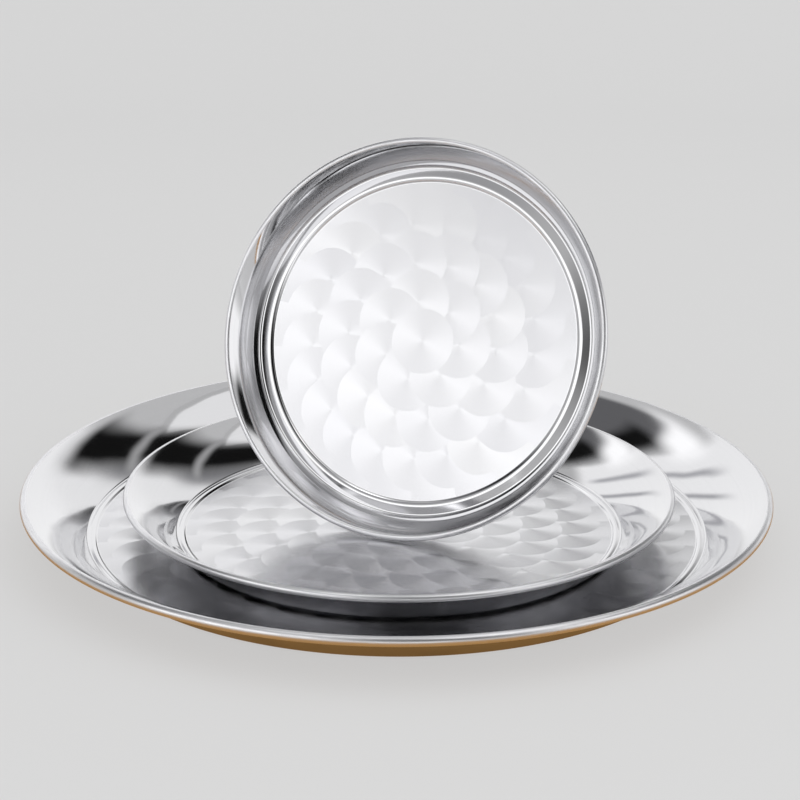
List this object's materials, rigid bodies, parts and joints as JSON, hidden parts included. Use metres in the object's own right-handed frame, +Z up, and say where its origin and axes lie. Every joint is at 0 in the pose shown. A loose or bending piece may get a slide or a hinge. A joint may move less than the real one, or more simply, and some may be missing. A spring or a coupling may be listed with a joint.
{
  "type": "round serving tray set",
  "caption": "Set of round shallow serving trays of pressed stainless sheet in nesting sizes, with flat swirl-finished floors, flared polished walls and rolled rims; the smallest stands leaning.",
  "frame": {"origin": "on the table under the centre of the large tray", "axes": "+Z up, +Y towards the back, so that the small tray's open side faces -Y, +X to the viewer's right"},
  "size_m": [0.3, 0.3, 0.1525],
  "materials": {
    "stainless_steel": "mirror polished walls, satin rim, swirl-finished floor"
  },
  "bodies": {
    "large": {"large_tray": "stainless_steel"},
    "medium": {"medium_tray": "stainless_steel"},
    "small": {"small_tray": "stainless_steel"}
  },
  "joints": [
    {"name": "medium_tray_lift", "type": "slide", "parent": "large", "child": "medium", "axis": [0, 0, 1], "range_m": [0, 0.06]},
    {"name": "small_tray_lift", "type": "slide", "parent": "medium", "child": "small", "axis": [0, 0, 1], "range_m": [0, 0.06]}
  ]
}
